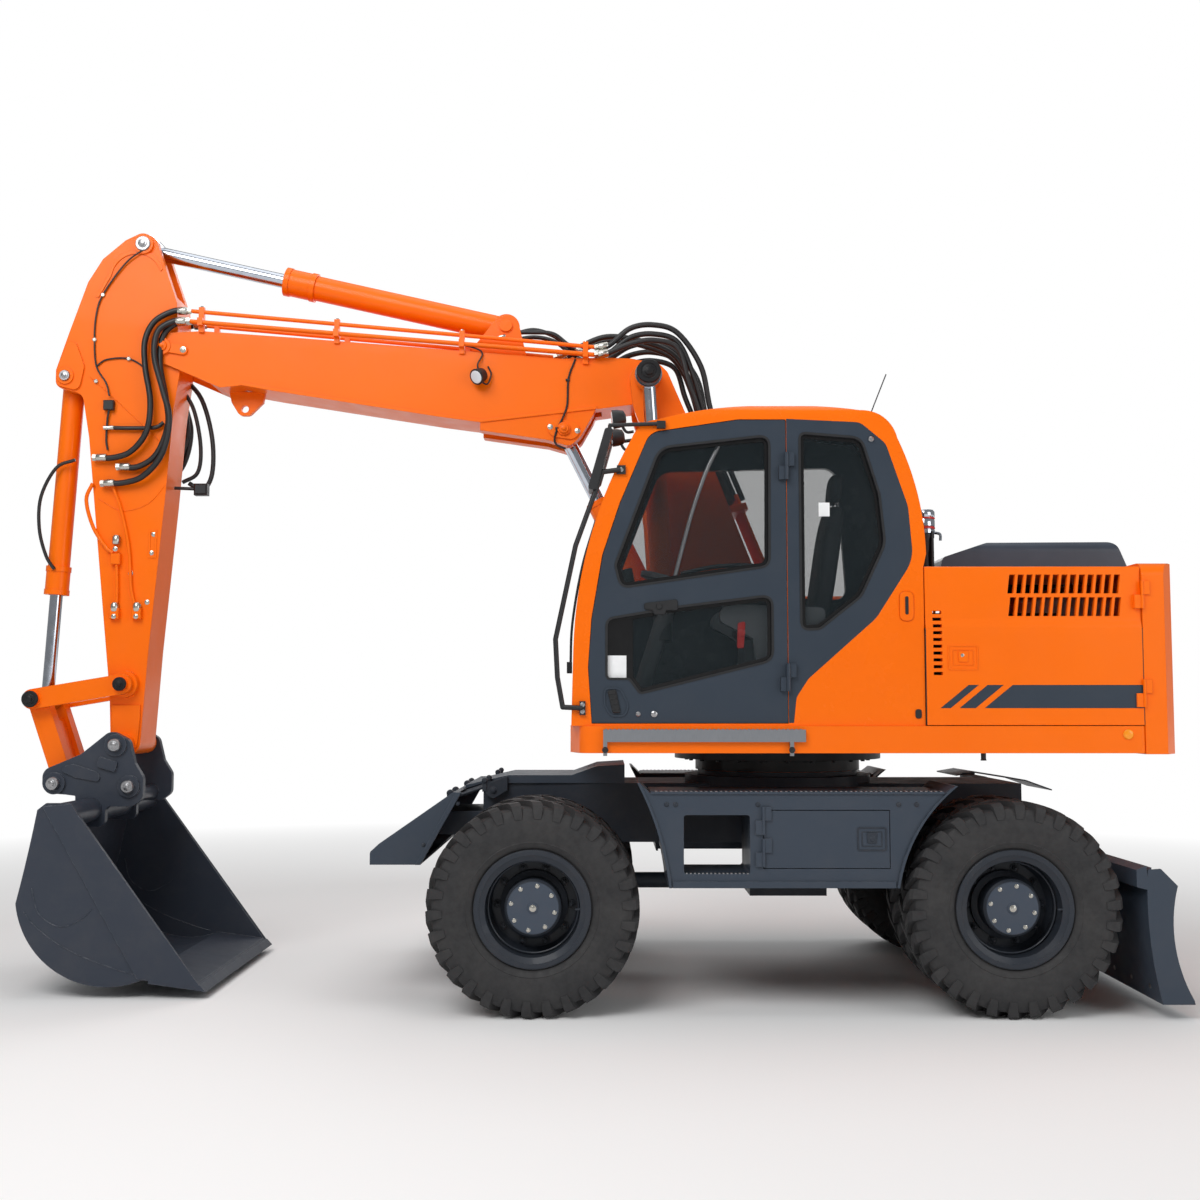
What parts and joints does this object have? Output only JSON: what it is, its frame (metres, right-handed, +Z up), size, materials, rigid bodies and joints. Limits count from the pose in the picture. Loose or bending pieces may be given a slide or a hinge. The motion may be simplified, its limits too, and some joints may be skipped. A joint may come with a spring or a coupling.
{
  "type": "wheeled excavator",
  "caption": "Rubber-tyred excavator with a two-piece boom, arm and wide ditching bucket, twin wheels, rear dozer blade, slewing cab and engine house.",
  "frame": {"origin": "on the ground under the middle of the machine's length and width, as it is parked in the picture", "axes": "+X forward towards the bucket, +Y to the operator's left, the side of the cab, +Z up"},
  "size_m": [6.4569, 2.5, 4.378],
  "materials": {
    "orange": "gloss",
    "grey": "satin",
    "chassis": "satin",
    "rim": "satin",
    "tyre": "matte",
    "chrome": "polished",
    "glass": "clear",
    "seat": "matte",
    "plastic": "matte"
  },
  "bodies": {
    "undercarriage": {"chassis_frame": "chassis", "axles": "chassis", "side_boxes": "grey", "front_guard": "grey", "frame_covers": "grey"},
    "knuckle_left": {"knuckle_left": "chassis"},
    "knuckle_right": {"knuckle_right": "chassis"},
    "wheels_front_left": {"rim_front_left": "rim", "tyres_front_left": "tyre"},
    "wheels_front_right": {"rim_front_right": "rim", "tyres_front_right": "tyre"},
    "wheels_rear_left": {"rim_rear_left": "rim", "tyres_rear_left": "tyre"},
    "wheels_rear_right": {"rim_rear_right": "rim", "tyres_rear_right": "tyre"},
    "upper": {"deck": "orange", "cab_shell": "orange", "cab_quarter": "grey", "cab_glass": "glass", "seat_cushions": "seat", "controls": "plastic", "hood_frame": "orange", "engine": "chassis", "tanks": "orange", "counterweight": "orange", "air_cleaner": "chrome", "cab_step": "chrome", "cab_fittings": "plastic"},
    "cab_door": {"cab_door": "grey", "door_glass": "glass"},
    "hood_door_left": {"hood_door_left": "orange"},
    "hood_door_right": {"hood_door_right": "orange"},
    "hood_cover": {"hood_cover": "grey"},
    "locker_door_left": {"locker_door_left": "grey"},
    "locker_door_right": {"locker_door_right": "grey"},
    "blade_arms": {"blade_arms": "chassis"},
    "blade_links": {"blade_links": "chassis"},
    "blade": {"blade": "grey"},
    "blade_barrels": {"blade_barrels": "grey"},
    "blade_rods": {"blade_rods": "chrome"},
    "lower_boom": {"lower_boom": "orange"},
    "upper_boom": {"upper_boom": "orange"},
    "arm": {"arm": "orange"},
    "guide_links": {"guide_links": "orange"},
    "push_link": {"push_link": "orange"},
    "lift_barrels": {"lift_barrels": "orange"},
    "lift_rods": {"lift_rods": "chrome"},
    "adjust_barrel": {"adjust_barrel": "orange"},
    "adjust_rod": {"adjust_rod": "chrome"},
    "arm_barrel": {"arm_barrel": "orange"},
    "arm_rod": {"arm_rod": "chrome"},
    "bucket_barrel": {"bucket_barrel": "orange"},
    "bucket_rod": {"bucket_rod": "chrome"},
    "bucket": {"bucket": "grey", "coupler": "grey"}
  },
  "joints": [
    {"name": "steer_left", "type": "hinge", "parent": "undercarriage", "child": "knuckle_left", "pos_m": [0.2215, 0.76, 0.54], "axis": [0, 0, 1], "range_deg": [-22, 22]},
    {"name": "steer_right", "type": "hinge", "parent": "undercarriage", "child": "knuckle_right", "pos_m": [0.2215, -0.76, 0.54], "axis": [0, 0, 1], "range_deg": [-22, 22]},
    {"name": "wheel_front_left", "type": "hinge", "parent": "knuckle_left", "child": "wheels_front_left", "pos_m": [0.2215, 0.945, 0.54], "axis": [0, 1, 0], "continuous": true},
    {"name": "wheel_front_right", "type": "hinge", "parent": "knuckle_right", "child": "wheels_front_right", "pos_m": [0.2215, -0.945, 0.54], "axis": [0, 1, 0], "continuous": true},
    {"name": "wheel_rear_left", "type": "hinge", "parent": "undercarriage", "child": "wheels_rear_left", "pos_m": [-2.1935, 0.945, 0.54], "axis": [0, 1, 0], "continuous": true},
    {"name": "wheel_rear_right", "type": "hinge", "parent": "undercarriage", "child": "wheels_rear_right", "pos_m": [-2.1935, -0.945, 0.54], "axis": [0, 1, 0], "continuous": true},
    {"name": "slew", "type": "hinge", "parent": "undercarriage", "child": "upper", "pos_m": [-1.1535, 0, 1.186], "axis": [0, 0, 1], "continuous": true},
    {"name": "cab_door_hinge", "type": "hinge", "parent": "upper", "child": "cab_door", "pos_m": [-1.0715, 1.228, 2.2], "axis": [0, 0, 1], "range_deg": [0, 170]},
    {"name": "hood_door_left_hinge", "type": "hinge", "parent": "upper", "child": "hood_door_left", "pos_m": [-2.8695, 1.226, 1.87], "axis": [0, 0, 1], "range_deg": [0, 100]},
    {"name": "hood_door_right_hinge", "type": "hinge", "parent": "upper", "child": "hood_door_right", "pos_m": [-2.8695, -1.226, 1.87], "axis": [0, 0, -1], "range_deg": [0, 100]},
    {"name": "hood_cover_hinge", "type": "hinge", "parent": "upper", "child": "hood_cover", "pos_m": [-3.0095, 0, 2.31], "axis": [0, -1, 0], "range_deg": [0, 60]},
    {"name": "locker_left_hinge", "type": "hinge", "parent": "undercarriage", "child": "locker_door_left", "pos_m": [-0.9405, 1.213, 0.9], "axis": [0, 0, -1], "range_deg": [0, 100]},
    {"name": "locker_right_hinge", "type": "hinge", "parent": "undercarriage", "child": "locker_door_right", "pos_m": [-0.9405, -1.213, 0.9], "axis": [0, 0, 1], "range_deg": [0, 100]},
    {"name": "blade_lift", "type": "hinge", "parent": "undercarriage", "child": "blade_arms", "pos_m": [-2.4835, 0, 0.47], "axis": [0, 1, 0], "range_deg": [-12, 35]},
    {"name": "blade_link_turn", "type": "hinge", "parent": "undercarriage", "child": "blade_links", "pos_m": [-2.4835, 0, 0.66], "axis": [0, 1, 0], "range_deg": [-13, 36]},
    {"name": "blade_level", "type": "hinge", "parent": "blade_arms", "child": "blade", "pos_m": [-2.7935, 0, 0.37], "axis": [0, 1, 0], "range_deg": [-36, 13]},
    {"name": "blade_barrel_turn", "type": "hinge", "parent": "undercarriage", "child": "blade_barrels", "pos_m": [-2.5385, 0, 0.88], "axis": [0, -1, 0], "range_deg": [-3.19, 1.42]},
    {"name": "blade_rod_slide", "type": "slide", "parent": "blade_barrels", "child": "blade_rods", "axis": [-0.3334, 0, -0.9428], "range_m": [-0.1207, 0.0427]},
    {"name": "boom_lift", "type": "hinge", "parent": "upper", "child": "lower_boom", "pos_m": [-1.0035, 0, 1.85], "axis": [0, -1, 0], "range_deg": [-50, 14]},
    {"name": "boom_adjust", "type": "hinge", "parent": "lower_boom", "child": "upper_boom", "pos_m": [-0.3935, 0, 3.46], "axis": [0, 1, 0], "range_deg": [-32, 35]},
    {"name": "arm_swing", "type": "hinge", "parent": "upper_boom", "child": "arm", "pos_m": [2.4705, 0, 3.674], "axis": [0, -1, 0], "range_deg": [-18, 74]},
    {"name": "bucket_tilt", "type": "hinge", "parent": "arm", "child": "bucket", "pos_m": [2.6455, 0, 1.333], "axis": [0, -1, 0], "range_deg": [-60, 70]},
    {"name": "lift_barrels_turn", "type": "hinge", "parent": "upper", "child": "lift_barrels", "pos_m": [-0.5135, 0, 1.58], "axis": [0, -1, 0], "range_deg": [-48.6, 13.97]},
    {"name": "lift_rods_slide", "type": "slide", "parent": "lift_barrels", "child": "lift_rods", "axis": [0.0637, 0, 0.998], "range_m": [-0.4446, 0.1259]},
    {"name": "adjust_barrel_turn", "type": "hinge", "parent": "lower_boom", "child": "adjust_barrel", "pos_m": [-0.4815, 0, 2.015], "axis": [0, -1, 0], "range_deg": [-1.6, 1.71]},
    {"name": "adjust_rod_slide", "type": "slide", "parent": "adjust_barrel", "child": "adjust_rod", "axis": [0.4463, 0, 0.8949], "range_m": [-0.3185, 0.2914]},
    {"name": "arm_barrel_turn", "type": "hinge", "parent": "upper_boom", "child": "arm_barrel", "pos_m": [0.4465, 0, 3.812], "axis": [0, -1, 0], "range_deg": [-2.35, 0.95]},
    {"name": "arm_rod_slide", "type": "slide", "parent": "arm_barrel", "child": "arm_rod", "axis": [0.9756, 0, 0.2197], "range_m": [-0.6881, 0.1689]},
    {"name": "guide_links_turn", "type": "hinge", "parent": "arm", "child": "guide_links", "pos_m": [2.6465, 0, 1.681], "axis": [0, -1, 0], "range_deg": [-47.14, 54.92]},
    {"name": "push_link_turn", "type": "hinge", "parent": "guide_links", "child": "push_link", "pos_m": [3.1585, 0, 1.595], "axis": [0, -1, 0], "range_deg": [-33.53, 28.81]},
    {"name": "bucket_barrel_turn", "type": "hinge", "parent": "arm", "child": "bucket_barrel", "pos_m": [3.0465, 0, 3.501], "axis": [0, -1, 0], "range_deg": [-2.38, 2.69]},
    {"name": "bucket_rod_slide", "type": "slide", "parent": "bucket_barrel", "child": "bucket_rod", "axis": [0.0587, 0, -0.9983], "range_m": [-0.4439, 0.3808]}
  ],
  "couplings": [
    {"joint": "steer_right", "follows": "steer_left", "ratio": 1},
    {"joint": "blade_link_turn", "follows": "blade_lift", "ratio": 1},
    {"joint": "blade_level", "follows": "blade_lift", "ratio": -1},
    {"joint": "blade_barrel_turn", "follows": "blade_lift", "ratio": -0.07679},
    {"joint": "blade_rod_slide", "follows": "blade_lift", "m_per_rad": -0.19437},
    {"joint": "lift_barrels_turn", "follows": "boom_lift", "ratio": 0.96204},
    {"joint": "lift_rods_slide", "follows": "boom_lift", "m_per_rad": 0.50713},
    {"joint": "adjust_barrel_turn", "follows": "boom_adjust", "ratio": 0.03447},
    {"joint": "adjust_rod_slide", "follows": "boom_adjust", "m_per_rad": -0.51814},
    {"joint": "arm_barrel_turn", "follows": "arm_swing", "ratio": -0.025},
    {"joint": "arm_rod_slide", "follows": "arm_swing", "m_per_rad": -0.5312},
    {"joint": "guide_links_turn", "follows": "bucket_tilt", "ratio": 0.7774},
    {"joint": "push_link_turn", "follows": "bucket_tilt", "ratio": -0.47187},
    {"joint": "bucket_barrel_turn", "follows": "bucket_tilt", "ratio": 0.03125},
    {"joint": "bucket_rod_slide", "follows": "bucket_tilt", "m_per_rad": -0.36173}
  ]
}
